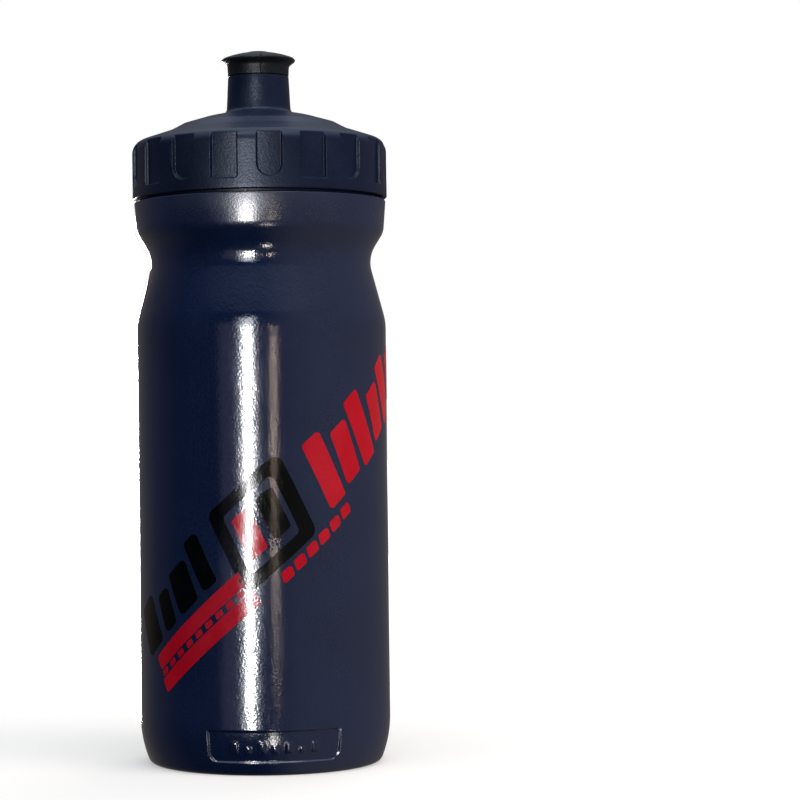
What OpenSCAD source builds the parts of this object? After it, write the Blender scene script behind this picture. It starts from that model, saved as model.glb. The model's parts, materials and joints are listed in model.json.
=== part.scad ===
// Sports squeeze bottle: a blow-moulded bottle, a screw cap and a push-pull mouthpiece.
// The axis is +Z, and the origin is the centre of the ring that the bottle stands on.
// The front, with the panel at the foot, is the -Y side. All sizes are millimetres.

/* [Bottle] */
// Outer radius of the straight wall
body_r = 37; // [35:0.5:39]
// Height of the top of the straight wall
shoulder_z = 127.4; // [95:0.2:150]
// Thickness of the wall
wall = 1.1; // [0.9:0.1:1.3]
// Depth of the groove at the waist
waist_depth = 4.36; // [3.6:0.02:4.4]
// Height of the ledge under the cap above the straight wall
ledge_rise = 38.3; // [37:0.1:40]
// Height of the neck above the ledge
neck_h = 15.1; // [14.8:0.1:16]

/* [Foot] */
// Height of the curve from the foot to the straight wall
foot_h = 13.5; // [13:0.5:16]
// Radius of that curve
foot_arc_r = 33; // [32:0.5:36]
// Rounding between the curve and the standing ring
foot_corner_r = 2.3; // [1.5:0.1:3]
// Inner radius of the standing ring
push_up_r = 26; // [22:0.5:28]
// Width of the recessed panel
panel_w = 39; // [30:1:42]
// Depth of the recessed panel
panel_depth = 0.65; // [0.4:0.05:0.8]

/* [Screw thread] */
// Rise of the thread in one turn
lead = 5; // [4.6:0.1:6]
// Number of turns
turns = 1.5; // [1:0.25:1.5]

/* [Cap] */
// Height of the straight part of the skirt
skirt_h = 13.6; // [13:0.1:15]
// Number of grip pockets, round-ended and square-ended in turn
pockets = 18; // [12:2:20]
// Depth of a pocket
pocket_depth = 1.0; // [0.6:0.1:1.2]
// Height of the mouthpiece's tube above the skirt's foot
tube_top = 36.2; // [34:0.1:38]

/* [Mouthpiece] */
// Outer radius of the soft rim
rim_r = 11.05; // [10.6:0.05:11.6]
// Distance that the mouthpiece pulls out
travel = 7; // [4:0.5:7]

/* [Hidden] */
$fn = 96;

// bottle
waist_r = body_r - waist_depth;
waist_z = shoulder_z + 19.8;
shoulder_arc_r = 18;
shoulder_slope = 15.2;
waist_arc_r = 9.5;
waist_slope = 32;
bulge_arc_r = 6;
bulge_slope = 4.2;
bulge_c = [body_r - 6.28, shoulder_z + 30.78];
bulge_top_r = body_r + 0.3;
ledge_z = shoulder_z + ledge_rise;
ledge_wall = 1.5;
neck_r = body_r - 3.8;
bore_r = neck_r - 1.6;
rim_z = ledge_z + neck_h;
foot_c = [body_r - foot_arc_r, foot_h];
foot_wall = 2;
inner_corner_r = 3;
floor_t = 1.7;
push_up_h = 3;
panel_low = 3.7;
panel_high = 13.3;
panel_corner_r = 3;
mark_h = 0.35;

// thread
ridge_root = 2.4;
ridge_crest = 1.0;
ridge_h = 1.4;
ridge_embed = 0.4;
ridge_flank = (ridge_root - ridge_crest) / 2 / ridge_h;
run_in = 30;
ridge_step = 10;
neck_ridge_z = ledge_z + 4.3;
cap_ridge_z = neck_ridge_z - lead / 3;

// cap
cap_r = body_r + 0.7;
cap_z = ledge_z + 0.8;
skirt_r = cap_r - 2.5;
skirt_top = cap_z + skirt_h;
crown_arc_r = 4;
crown_slope = 18.9;
crown_c = [cap_r - crown_arc_r, skirt_top];
seat_z = cap_z + 15.8;
plug_r = bore_r - 0.4;
plug_wall = 1.4;
plug_low = seat_z - 5.5;
step_z = cap_z + 22;
tube_z = cap_z + tube_top;
tube_r = 9;
chamber_r = 7.7;
chamber_low = cap_z + 16.7;
chamber_high = tube_z - 4.1;
guide_r = 7;
pocket_floor_r = cap_r - pocket_depth;
round_pocket_w = 7.7;
square_pocket_w = 8.2;
pocket_low = cap_z + 3.2;
square_corner_r = 1.2;

// mouthpiece
tip_gap = 0.2;
tip_z = tube_z + tip_gap;
tip_top = tube_z + 7.7;
tip_floor = tube_z + 4.6;
dome_arc_r = 29;
outlet_r = 3.3;
sleeve_r = guide_r - 0.05;
sleeve_bore_r = 5.6;
sleeve_low = chamber_high - travel - 4.6;
groove_r = 6.5;
bead_r = 7.5;
flange_r = 7.9;
oring_section_r = 0.55;
oring_r = chamber_r - 0.05 - oring_section_r;
oring_z = sleeve_low + 2.05;
pin_head_r = outlet_r - 0.1;
pin_r = 2.6;
insert_h = 3;
insert_bore_r = 6.3;
leg_w = 1.8;

// Points of an arc about c, from angle a to angle b, in n steps
function arc(c, r, a, b, n = 10) =
    [for (i = [0:n]) c + r * [cos(a + (b - a) * i / n), sin(a + (b - a) * i / n)]];

// Angle at which the foot's curve meets a corner of radius r whose centre is at height z
function meet(big_r, r, z) = asin((foot_h - z) / (big_r - r));

// Foot of the outer (inset 0) or inner wall, from the standing ring up to the straight wall
function foot_side(inset, r, z) =
    let (big_r = foot_arc_r - inset, m = meet(big_r, r, z),
         c = foot_c + (big_r - r) * [cos(m), -sin(m)])
    concat(arc(c, r, -90, -m, 6), arc(foot_c, big_r, -m, 0, 8));

// Shoulder and waist, at a distance inside the outer face
function upper_side(inset) = concat(
    arc([body_r - shoulder_arc_r, shoulder_z], shoulder_arc_r - inset, 0, shoulder_slope, 5),
    arc([waist_r + waist_arc_r, waist_z], waist_arc_r + inset,
        180 + shoulder_slope, 180 - waist_slope, 10),
    arc(bulge_c, bulge_arc_r - inset, -waist_slope, -bulge_slope, 5));

function reversed(list) = [for (i = [len(list) - 1:-1:0]) list[i]];

outer_wall = concat(
    [[0, push_up_h], [push_up_r - 10, push_up_h - 0.6], [push_up_r - 4, push_up_h - 1.3],
     [push_up_r - 1.2, 0.8], [push_up_r, 0]],
    foot_side(0, foot_corner_r, foot_corner_r),
    upper_side(0),
    [[bulge_top_r, ledge_z - 0.7], [bulge_top_r - 0.2, ledge_z - 0.2],
     [bulge_top_r - 0.7, ledge_z], [neck_r, ledge_z], [neck_r, rim_z - 0.4],
     [neck_r - 0.4, rim_z]]);

inner_wall = concat(
    [[0, push_up_h + floor_t], [push_up_r - 9, push_up_h + floor_t - 0.6],
     [push_up_r - 3, push_up_h + floor_t - 1.4], [push_up_r + 1.2, floor_t]],
    foot_side(foot_wall, inner_corner_r, inner_corner_r + floor_t),
    [[body_r - wall, foot_h + 7]],
    upper_side(wall),
    [[bulge_top_r - wall, ledge_z - ledge_wall - 0.6],
     [bulge_top_r - wall - 0.6, ledge_z - ledge_wall],
     [bore_r, ledge_z - ledge_wall], [bore_r, rim_z]]);

// Outline of the panel: rounded below, square above
module panel_outline() {
    half = panel_w / 2;
    translate([-half, panel_low + panel_corner_r])
        square([panel_w, panel_high - panel_low - panel_corner_r]);
    translate([-half + panel_corner_r, panel_low])
        square([panel_w - 2 * panel_corner_r, panel_high - panel_low]);
    for (side = [-1, 1])
        translate([side * (half - panel_corner_r), panel_low + panel_corner_r])
            circle(panel_corner_r);
}

// Plain upright bars that stand on the panel's floor
module panel_marks() {
    for (x = [-12:4:12])
        translate([x - 0.8, panel_low + 3])
            square([1.6, x % 8 == 0 ? 4 : 2.6]);
}

// Band that follows the foot's curve between two depths
module foot_band(low, high) {
    rotate_extrude()
        polygon(concat(arc(foot_c, foot_arc_r - low, -24, 4, 10),
                       arc(foot_c, foot_arc_r - high, 4, -24, 10)));
}

module panel_cut() {
    difference() {
        intersection() {
            foot_band(-1, panel_depth);
            rotate([90, 0, 0]) linear_extrude(body_r + 4) panel_outline();
        }
        intersection() {
            foot_band(panel_depth - mark_h, panel_depth + 1);
            rotate([90, 0, 0]) linear_extrude(body_r + 4) panel_marks();
        }
    }
}

// Height of a ridge at an angle, as a share of its full height
function ridge_share(t) =
    let (end = turns * 360) max(0.15, min(1, t / run_in, (end - t) / run_in));

// Four corners of a ridge, from the face at root_r towards crest_r
function ridge_ring(t, root_r, dir, z) =
    let (a = root_r - dir * ridge_embed,
         rise = (ridge_embed + ridge_h) * ridge_share(t),
         b = a + dir * rise,
         wide = ridge_root / 2 + ridge_embed * ridge_flank,
         thin = wide - rise * ridge_flank,
         h = z + lead * t / 360,
         low = dir > 0 ? [a, wide] : [b, thin],
         high = dir > 0 ? [b, thin] : [a, wide])
    [for (p = [[low[0], -low[1]], [high[0], -high[1]], [high[0], high[1]], [low[0], low[1]]])
        [p[0] * cos(t), p[0] * sin(t), h + p[1]]];

// Helical ridge, right-handed; dir is 1 on the outside of a neck and -1 inside a skirt
module ridge(root_r, dir, z) {
    last = round(turns * 360 / ridge_step);
    points = [for (k = [0:last]) for (p = ridge_ring(k * ridge_step, root_r, dir, z)) p];
    sides = [for (k = [0:last - 1]) for (j = [0:3])
        let (a = 4 * k + j, b = 4 * k + (j + 1) % 4)
        for (f = [[a, b, b + 4], [a, b + 4, a + 4]]) f];
    ends = [[3, 2, 1, 0], [for (j = [0:3]) 4 * last + j]];
    polyhedron(points, concat(sides, ends));
}

module bottle_body() {
    color("#12162c")
    union() {
        difference() {
            rotate_extrude() polygon(concat(outer_wall, reversed(inner_wall)));
            panel_cut();
        }
        ridge(neck_r, 1, neck_ridge_z);
    }
}

module round_pocket() {
    r = round_pocket_w / 2;
    translate([0, pocket_low + r]) circle(r);
    translate([-r, pocket_low + r]) square([2 * r, skirt_h]);
}

module square_pocket() {
    half = square_pocket_w / 2;
    inset = half - square_corner_r;
    translate([-half, pocket_low + square_corner_r - 0.4]) square([2 * half, skirt_h]);
    translate([-inset, pocket_low - 0.4]) square([2 * inset, skirt_h]);
    for (side = [-1, 1])
        translate([side * inset, pocket_low + square_corner_r - 0.4]) circle(square_corner_r);
}

module pocket_cuts() {
    difference() {
        for (i = [0:pockets - 1])
            rotate([0, 0, i * 360 / pockets]) rotate([90, 0, 0])
                translate([0, 0, pocket_floor_r - 3]) linear_extrude(6)
                    if (i % 2 == 0) round_pocket(); else square_pocket();
        translate([0, 0, cap_z]) cylinder(r = pocket_floor_r, h = 30);
    }
}

cap_outside = concat(
    [[skirt_r, cap_z], [cap_r - 0.3, cap_z], [cap_r, cap_z + 0.3]],
    arc(crown_c, crown_arc_r, 0, 90 - crown_slope, 8),
    [[27.2, step_z - 1.95], [26.5, step_z - 1.6], [25, step_z - 1], [23.2, step_z],
     [22.7, step_z + 0.35], [21.8, step_z + 0.7], [20, step_z + 1.3], [16, step_z + 2.3],
     [12, step_z + 3.1], [10.8, step_z + 3.5], [10, step_z + 4.1], [9.55, step_z + 4.8],
     [tube_r + 0.4, step_z + 5.5], [tube_r, tube_z - 0.2], [tube_r - 0.2, tube_z]]);

cap_inside = [
    [guide_r, tube_z], [guide_r, chamber_high], [chamber_r, chamber_high],
    [chamber_r, chamber_low], [tube_r + 0.6, chamber_low], [tube_r + 0.6, step_z + 1.6],
    [11, step_z + 1.2], [16, step_z + 0.4], [20, step_z - 0.6], [21.6, step_z - 1.3],
    [25, step_z - 3.1], [29, step_z - 4.3], [plug_r - plug_wall, step_z - 4.6],
    [plug_r - plug_wall, plug_low], [plug_r - 0.6, plug_low], [plug_r, plug_low + 0.8],
    [plug_r, seat_z], [skirt_r, seat_z]];

module screw_cap() {
    color("#1b2135")
    union() {
        difference() {
            rotate_extrude() polygon(concat(cap_outside, cap_inside));
            pocket_cuts();
        }
        ridge(skirt_r, -1, cap_ridge_z);
    }
}

module cap_gasket() {
    color("#d8d6cf")
    rotate_extrude()
        translate([plug_r + 0.2, rim_z]) square([skirt_r - 0.6 - plug_r - 0.2, seat_z - rim_z]);
}

module valve_pin() {
    color("#3c4a63")
    union() {
        rotate_extrude()
            polygon([[0, chamber_low], [pin_r, chamber_low], [pin_r, tip_floor - 3.1],
                     [pin_head_r, tip_floor - 1.7], [pin_head_r, tip_top - 0.5],
                     [pin_head_r - 0.4, tip_top - 0.15], [0, tip_top - 0.05]]);
        rotate_extrude()
            translate([insert_bore_r, chamber_low]) square([chamber_r - insert_bore_r, insert_h]);
        for (a = [90, 210, 330])
            rotate([0, 0, a]) translate([pin_r - 0.3, -leg_w / 2, chamber_low])
                cube([insert_bore_r - pin_r + 0.6, leg_w, insert_h]);
    }
}

module mouthpiece_sleeve() {
    color("#2a2d31")
    rotate_extrude()
        polygon([[sleeve_bore_r, sleeve_low], [sleeve_r - 0.3, sleeve_low],
                 [sleeve_r, sleeve_low + 0.3], [sleeve_r, sleeve_low + 1.4],
                 [groove_r, sleeve_low + 1.4], [groove_r, sleeve_low + 2.7],
                 [sleeve_r, sleeve_low + 2.7], [sleeve_r, sleeve_low + 3.2],
                 [bead_r, sleeve_low + 3.4], [bead_r, sleeve_low + 4.3],
                 [sleeve_r, sleeve_low + 4.5], [sleeve_r, tip_z + 1.7],
                 [flange_r, tip_z + 1.7], [flange_r, tip_z + 2.9], [sleeve_r, tip_z + 2.9],
                 [sleeve_r, tip_floor], [sleeve_bore_r, tip_floor]]);
}

// The tip's top is a shallow dome about a centre on the axis
dome_c = [0, tip_top - dome_arc_r];
dome_edge_a = acos((rim_r - 0.45) / dome_arc_r);
outlet_a = acos((outlet_r + 0.15) / dome_arc_r);

module mouthpiece_tip() {
    color("#1d1f21")
    rotate_extrude()
        polygon(concat(
            [[sleeve_r, tip_z], [tube_r - 0.1, tip_z], [tube_r, tip_z + 0.1],
             [tube_r + 0.15, tip_z + 2.5], [tube_r + 0.5, tip_z + 3.3],
             [rim_r - 0.55, tip_z + 4.05], [rim_r - 0.1, tip_z + 4.5], [rim_r, tip_z + 4.9],
             [rim_r - 0.1, tip_z + 5.3]],
            arc(dome_c, dome_arc_r, dome_edge_a, outlet_a, 8),
            [[outlet_r, tip_top - 0.45], [outlet_r, tip_floor], [sleeve_r, tip_floor],
             [sleeve_r, tip_z + 2.9], [flange_r, tip_z + 2.9], [flange_r, tip_z + 1.7],
             [sleeve_r, tip_z + 1.7]]));
}

module sleeve_oring() {
    color("#151515")
    rotate_extrude() translate([oring_r, oring_z]) circle(oring_section_r);
}

bottle_body();
screw_cap();
valve_pin();
cap_gasket();
mouthpiece_sleeve();
mouthpiece_tip();
sleeve_oring();
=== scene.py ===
import json
import math

import bmesh
import bpy
from mathutils import Matrix, Vector, geometry, noise


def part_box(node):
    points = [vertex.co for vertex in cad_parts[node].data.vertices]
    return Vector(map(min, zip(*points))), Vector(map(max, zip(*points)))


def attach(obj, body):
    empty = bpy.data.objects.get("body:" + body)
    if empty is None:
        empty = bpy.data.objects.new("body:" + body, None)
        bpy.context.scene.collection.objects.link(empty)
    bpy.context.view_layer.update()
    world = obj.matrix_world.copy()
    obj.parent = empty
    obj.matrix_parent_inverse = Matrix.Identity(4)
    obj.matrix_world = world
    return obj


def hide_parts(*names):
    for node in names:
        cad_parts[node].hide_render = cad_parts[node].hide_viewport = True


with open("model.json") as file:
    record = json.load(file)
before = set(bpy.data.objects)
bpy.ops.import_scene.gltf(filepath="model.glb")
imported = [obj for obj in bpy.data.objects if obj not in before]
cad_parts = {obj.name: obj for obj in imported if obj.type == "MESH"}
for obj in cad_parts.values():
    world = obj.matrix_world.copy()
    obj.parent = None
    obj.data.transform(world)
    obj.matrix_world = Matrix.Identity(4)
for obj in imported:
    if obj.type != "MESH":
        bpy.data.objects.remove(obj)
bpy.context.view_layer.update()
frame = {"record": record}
mm = 0.001

# places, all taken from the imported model
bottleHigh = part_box("bottle_body")[1]
capLow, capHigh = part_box("screw_cap")
tipLow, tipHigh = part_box("mouthpiece_tip")
sleeveLow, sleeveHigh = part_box("mouthpiece_sleeve")
pinLow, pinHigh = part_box("valve_pin")
gasketLow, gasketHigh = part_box("cap_gasket")
ringLow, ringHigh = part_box("sleeve_oring")
cageWall = next(m for m in frame["record"]["mounts"] if m["name"] == "cage_wall")

bodyR = cageWall["dims"]["r_mm"] * mm
wallMid = cageWall["pos_m"][2]
wallHalf = cageWall["dims"]["length_mm"] * mm / 2
footZ = wallMid - wallHalf
shoulderZ = wallMid + wallHalf
rimZ = bottleHigh.z
capR = capHigh.x
capZ = capLow.z
tubeZ = capHigh.z
ledgeZ = capZ - 0.8 * mm  # the cap stands this far off the bottle's ledge
segments = 288  # faces round a full turn of the two big pieces
weldDistance = 0.004 * mm
print("frame loaded")


# outlines are lists of points (radius, height)
def arc(cx, cz, r, fromDeg, toDeg, steps):
    turn = [math.radians(fromDeg + (toDeg - fromDeg) * i / steps) for i in range(steps + 1)]
    return [(cx + r * math.cos(a), cz + r * math.sin(a)) for a in turn]


def rounded(corners, steps=6):
    # corners are (x, y, radius); each inner corner becomes an arc of that radius
    out = [corners[0][:2]]
    for i in range(1, len(corners) - 1):
        before, here, after = (Vector(corners[k][:2]) for k in (i - 1, i, i + 1))
        a, b = (before - here).normalized(), (after - here).normalized()
        radius = corners[i][2]
        angle = a.angle(b)
        if radius <= 0 or angle > math.pi - 0.002:
            out.append(tuple(here))
            continue
        reach = radius / math.tan(angle / 2)
        reach = min(reach, (before - here).length * 0.49, (after - here).length * 0.49)
        radius = reach * math.tan(angle / 2)
        centre = here + (a + b).normalized() * (radius / math.sin(angle / 2))
        start, end = here + a * reach - centre, here + b * reach - centre
        sweep = start.angle_signed(end) if start.length * end.length > 0 else 0
        for k in range(steps + 1):
            turned = Matrix.Rotation(-sweep * k / steps, 2) @ start
            out.append(tuple(centre + turned))
    out.append(corners[-1][:2])
    return out


def inMm(corners):
    return [tuple(v * mm for v in c) for c in corners]


def dense(points, step):
    # adds points so that no stretch of the outline is longer than step
    out = [points[0]]
    for a, b in zip(points, points[1:]):
        n = max(1, math.ceil(math.dist(a, b) / step - 0.01))
        out += [(a[0] + (b[0] - a[0]) * k / n, a[1] + (b[1] - a[1]) * k / n) for k in range(1, n + 1)]
    return out


def addNode(tree, kind, **settings):
    node = tree.nodes.new(kind)
    for key, value in settings.items():
        setattr(node, key, value)
    return node


def calc(tree, operation, *values, clamp=False):
    node = addNode(tree, "ShaderNodeMath", operation=operation, use_clamp=clamp)
    for socket, value in zip(node.inputs, values):
        if hasattr(value, "is_output"):
            tree.links.new(value, socket)
        else:
            socket.default_value = value
    return node.outputs[0]


def meshFrom(name, verts, edges=(), faces=()):
    mesh = bpy.data.meshes.new(name)
    mesh.from_pydata([tuple(v) for v in verts], list(edges), list(faces))
    return mesh


def startTree(name, inputs):
    tree = bpy.data.node_groups.new(name, "GeometryNodeTree")
    tree.interface.new_socket("Geometry", in_out="INPUT", socket_type="NodeSocketGeometry")
    for label, kind, value in inputs:
        socket = tree.interface.new_socket(label, in_out="INPUT", socket_type=kind)
        if value is not None:
            socket.default_value = value
    tree.interface.new_socket("Geometry", in_out="OUTPUT", socket_type="NodeSocketGeometry")
    start = addNode(tree, "NodeGroupInput")
    end = addNode(tree, "NodeGroupOutput")
    return tree, start, end


def endTree(tree, start, end, geometrySocket):
    # every tree ends the same way: weld, smooth, real mesh, material
    weld = addNode(tree, "GeometryNodeMergeByDistance")
    weld.inputs["Distance"].default_value = 0.002 * mm
    smooth = addNode(tree, "GeometryNodeSetShadeSmooth")
    real = addNode(tree, "GeometryNodeRealizeInstances")
    paint = addNode(tree, "GeometryNodeSetMaterial")
    tree.links.new(geometrySocket, real.inputs["Geometry"])
    tree.links.new(real.outputs["Geometry"], weld.inputs["Geometry"])
    tree.links.new(weld.outputs["Geometry"], smooth.inputs["Geometry"])
    tree.links.new(smooth.outputs["Geometry"], paint.inputs["Geometry"])
    tree.links.new(start.outputs["Material"], paint.inputs["Material"])
    tree.links.new(paint.outputs["Geometry"], end.inputs["Geometry"])


def bake(name, mesh, tree, values):
    # runs a tree on a mesh and returns the result as a plain mesh
    holder = bpy.data.objects.new(name, mesh)
    bpy.context.scene.collection.objects.link(holder)
    modifier = holder.modifiers.new(tree.name, "NODES")
    modifier.node_group = tree
    for item in tree.interface.items_tree:
        if item.in_out == "INPUT" and item.name in values:
            modifier[item.identifier] = values[item.name]
    seen = holder.evaluated_get(bpy.context.evaluated_depsgraph_get())
    made = bpy.data.meshes.new_from_object(seen)
    bpy.data.objects.remove(holder)
    made.name = name
    return made


def turnedTree():
    # turns an outline round the axis; with a lead and a run-in it becomes a screw ridge
    tree, start, end = startTree("turnedShape", [
        ("Segments", "NodeSocketInt", segments),
        ("Turns", "NodeSocketFloat", 1.0),
        ("Lead", "NodeSocketFloat", 0.0),
        ("Run-in", "NodeSocketFloat", 0.0),
        ("Centre radius", "NodeSocketFloat", 0.0),
        ("Start height", "NodeSocketFloat", 0.0),
        ("Material", "NodeSocketMaterial", None)])
    link = tree.links.new
    size = addNode(tree, "GeometryNodeAttributeDomainSize", component="MESH")
    link(start.outputs["Geometry"], size.inputs[0])
    rows = calc(tree, "ADD", start.outputs["Segments"], 1.0)
    grid = addNode(tree, "GeometryNodeMeshGrid")
    link(size.outputs["Point Count"], grid.inputs["Vertices X"])
    link(rows, grid.inputs["Vertices Y"])
    index = addNode(tree, "GeometryNodeInputIndex").outputs[0]
    corner = calc(tree, "FLOOR", calc(tree, "DIVIDE", calc(tree, "ADD", index, 0.5), rows))
    step = calc(tree, "SUBTRACT", index, calc(tree, "MULTIPLY", corner, rows))
    along = calc(tree, "DIVIDE", step, start.outputs["Segments"])
    turnsSoFar = calc(tree, "MULTIPLY", along, start.outputs["Turns"])
    turnsLeft = calc(tree, "SUBTRACT", start.outputs["Turns"], turnsSoFar)
    nearest = calc(tree, "MINIMUM", turnsSoFar, turnsLeft)
    runIn = calc(tree, "MAXIMUM", start.outputs["Run-in"], 1e-6)
    ramp = calc(tree, "DIVIDE", nearest, runIn, clamp=True)
    noRunIn = calc(tree, "LESS_THAN", start.outputs["Run-in"], 1e-5)
    share = calc(tree, "MAXIMUM", ramp, noRunIn)

    sample = addNode(tree, "GeometryNodeSampleIndex", data_type="FLOAT_VECTOR", domain="POINT")
    link(start.outputs["Geometry"], sample.inputs["Geometry"])
    link(addNode(tree, "GeometryNodeInputPosition").outputs[0], sample.inputs["Value"])
    link(corner, sample.inputs["Index"])
    parts = addNode(tree, "ShaderNodeSeparateXYZ")
    link(sample.outputs["Value"], parts.inputs[0])
    radius = calc(tree, "MULTIPLY_ADD", parts.outputs["X"], share, start.outputs["Centre radius"])
    height = calc(tree, "MULTIPLY_ADD", parts.outputs["Z"], share, start.outputs["Start height"])
    height = calc(tree, "MULTIPLY_ADD", turnsSoFar, start.outputs["Lead"], height)
    angle = calc(tree, "MULTIPLY", turnsSoFar, 2 * math.pi)
    place = addNode(tree, "ShaderNodeCombineXYZ")
    link(calc(tree, "MULTIPLY", radius, calc(tree, "COSINE", angle)), place.inputs["X"])
    link(calc(tree, "MULTIPLY", radius, calc(tree, "SINE", angle)), place.inputs["Y"])
    link(height, place.inputs["Z"])
    put = addNode(tree, "GeometryNodeSetPosition")
    link(grid.outputs["Mesh"], put.inputs["Geometry"])
    link(place.outputs[0], put.inputs["Position"])
    endTree(tree, start, end, put.outputs["Geometry"])
    return tree


def wrappedTree():
    # bends a flat pattern round the wall (x along it, y out of it, z up) and repeats it
    tree, start, end = startTree("wrappedPattern", [
        ("Wall radius", "NodeSocketFloat", bodyR),
        ("Repeats", "NodeSocketInt", 1),
        ("Material", "NodeSocketMaterial", None)])
    link = tree.links.new
    parts = addNode(tree, "ShaderNodeSeparateXYZ")
    link(addNode(tree, "GeometryNodeInputPosition").outputs[0], parts.inputs[0])
    radius = calc(tree, "ADD", start.outputs["Wall radius"], parts.outputs["Y"])
    angle = calc(tree, "DIVIDE", parts.outputs["X"], start.outputs["Wall radius"])
    place = addNode(tree, "ShaderNodeCombineXYZ")
    link(calc(tree, "MULTIPLY", radius, calc(tree, "SINE", angle)), place.inputs["X"])
    back = calc(tree, "MULTIPLY", radius, calc(tree, "COSINE", angle))
    link(calc(tree, "MULTIPLY", back, -1.0), place.inputs["Y"])
    link(parts.outputs["Z"], place.inputs["Z"])
    put = addNode(tree, "GeometryNodeSetPosition")
    link(start.outputs["Geometry"], put.inputs["Geometry"])
    link(place.outputs[0], put.inputs["Position"])
    spots = addNode(tree, "GeometryNodeMeshLine")
    link(start.outputs["Repeats"], spots.inputs["Count"])
    spots.inputs["Offset"].default_value = (0, 0, 0)
    repeat = addNode(tree, "GeometryNodeInstanceOnPoints")
    link(spots.outputs["Mesh"], repeat.inputs["Points"])
    link(put.outputs["Geometry"], repeat.inputs["Instance"])
    turn = calc(tree, "DIVIDE", 2 * math.pi, start.outputs["Repeats"])
    turn = calc(tree, "MULTIPLY", turn, addNode(tree, "GeometryNodeInputIndex").outputs[0])
    spin = addNode(tree, "ShaderNodeCombineXYZ")
    link(turn, spin.inputs["Z"])
    link(spin.outputs[0], repeat.inputs["Rotation"])
    endTree(tree, start, end, repeat.outputs["Instances"])
    return tree


turned = turnedTree()
wrapped = wrappedTree()


def turnedMesh(name, outline, material, **values):
    points = [(r, 0, z) for r, z in outline]
    edges = [(i, i + 1) for i in range(len(points) - 1)]
    settings = {"Segments": segments, "Turns": 1.0, "Material": material, **values}
    return bake(name, meshFrom(name, points, edges), turned, settings)


def wrappedMesh(name, flat, material, radius, repeats=1):
    settings = {"Wall radius": radius, "Repeats": repeats, "Material": material}
    return bake(name, flat, wrapped, settings)


# size and depth of each kind of unevenness in the blown wall, in mm
waves = {
    "broadSize": 26, "broadDepth": 0.09, "streakWidth": 7, "streakLength": 60, "streakDepth": 0.035,
    "fineSize": 4.5, "fineDepth": 0.012, "noiseStart": (3.1, 7.7, 1.3)}


def waviness(point, radius):
    # how far a soft blown wall stands in or out at a place, the same for the wall and its print
    around = math.atan2(point.y, point.x)
    place = Vector((math.cos(around) * radius, math.sin(around) * radius, point.z))
    wide, long = waves["streakWidth"] * mm, waves["streakLength"] * mm
    broad = noise.noise(place / (waves["broadSize"] * mm) + Vector(waves["noiseStart"]))
    streak = noise.noise(Vector((place.x / wide, place.y / wide, place.z / long)))
    fine = noise.noise(place / (waves["fineSize"] * mm))
    return (waves["broadDepth"] * broad + waves["streakDepth"] * streak
            + waves["fineDepth"] * fine) * mm


def joined(name, meshes, material, wavy=None):
    # welds meshes that share edges into one piece and turns every face outwards
    bm = bmesh.new()
    for mesh in meshes:
        bm.from_mesh(mesh)
    bmesh.ops.remove_doubles(bm, verts=bm.verts, dist=weldDistance)
    if any(f.calc_area() < 1e-14 for f in bm.faces):
        bmesh.ops.dissolve_degenerate(bm, edges=bm.edges, dist=1e-7)
    bmesh.ops.recalc_face_normals(bm, faces=bm.faces)
    if wavy:
        for v in bm.verts:
            out = Vector((v.co.x, v.co.y, 0))
            if out.length > 1e-6:
                v.co += out.normalized() * wavy(v.co)
    for f in bm.faces:
        f.smooth = True
        f.material_index = 0
    mesh = bpy.data.meshes.new(name)
    bm.to_mesh(mesh)
    openEdges = sum(1 for e in bm.edges if len(e.link_faces) != 2)
    print(name, len(bm.faces), "faces,", openEdges, "edges not shared by two faces")
    bm.free()
    mesh.materials.clear()
    mesh.materials.append(material)
    piece = bpy.data.objects.new(name, mesh)
    bpy.context.scene.collection.objects.link(piece)
    return piece


def given(piece, body, node):
    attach(piece, body)
    if node:
        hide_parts(node)


# flat patterns with rounded steps, made before they are wrapped
def boxDepth(u, v, cx, low, half, corner, high=None):
    # how far inside a box with rounded lower corners a point is; open above if high is None
    qx = abs(u - cx) - (half - corner)
    qy = (low + corner) - v
    inside = corner - (math.hypot(max(qx, 0), max(qy, 0)) + min(max(qx, qy), 0))
    return inside if high is None else min(inside, high - v)


def boxRing(cx, low, half, corner, inset, rows, high=None):
    # line at a constant inset inside the same box, with a point at each row
    corner = max(corner - inset, 0.06 * mm)
    half, low = half - inset, low + inset
    top = rows[-1] if high is None else high - inset
    side = [v for v in rows if low + corner + 0.05 * mm < v < top - 0.05 * mm]
    line = [(cx - half, top)] + [(cx - half, v) for v in reversed(side)]
    line += [(cx - half + corner + x, low + corner + y) for x, y in arc(0, 0, corner, 180, 270, 9)]
    n = max(1, round(2 * (half - corner) / mm))
    line += [(cx - half + corner + 2 * (half - corner) * k / n, low) for k in range(1, n)]
    line += [(cx + half - corner + x, low + corner + y) for x, y in arc(0, 0, corner, 270, 360, 9)]
    line += [(cx + half, v) for v in side] + [(cx + half, top)]
    if high is not None:
        line += [(cx + half - 2 * half * k / n, top) for k in range(1, n)]
        line.append(line[0])
    return line


def patternMesh(name, start, width, columns, rows, rings, depths, offset):
    # fills a flat strip with triangles that follow the rings, then sets each point's offset
    points, edges = [], []
    for ring in rings:
        first = len(points)
        points += [Vector(p) for p in ring]
        edges += [(first + k, first + k + 1) for k in range(len(ring) - 1)]
    for j, v in enumerate(rows):
        for i in range(columns + 1):
            u = start + width * i / columns
            border = i in (0, columns) or j in (0, len(rows) - 1)
            near = min((abs(d(u, v) - 0.15 * mm) for d in depths), default=1)
            if border or near > 0.55 * mm:
                points.append(Vector((u, v)))
    coords, _, faces, *_ = geometry.delaunay_2d_cdt(points, edges, [], 0, 1e-7)
    verts = [(p.x, offset(p.x, p.y), p.y) for p in coords]
    return meshFrom(name, verts, faces=[tuple(f) for f in faces])


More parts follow.
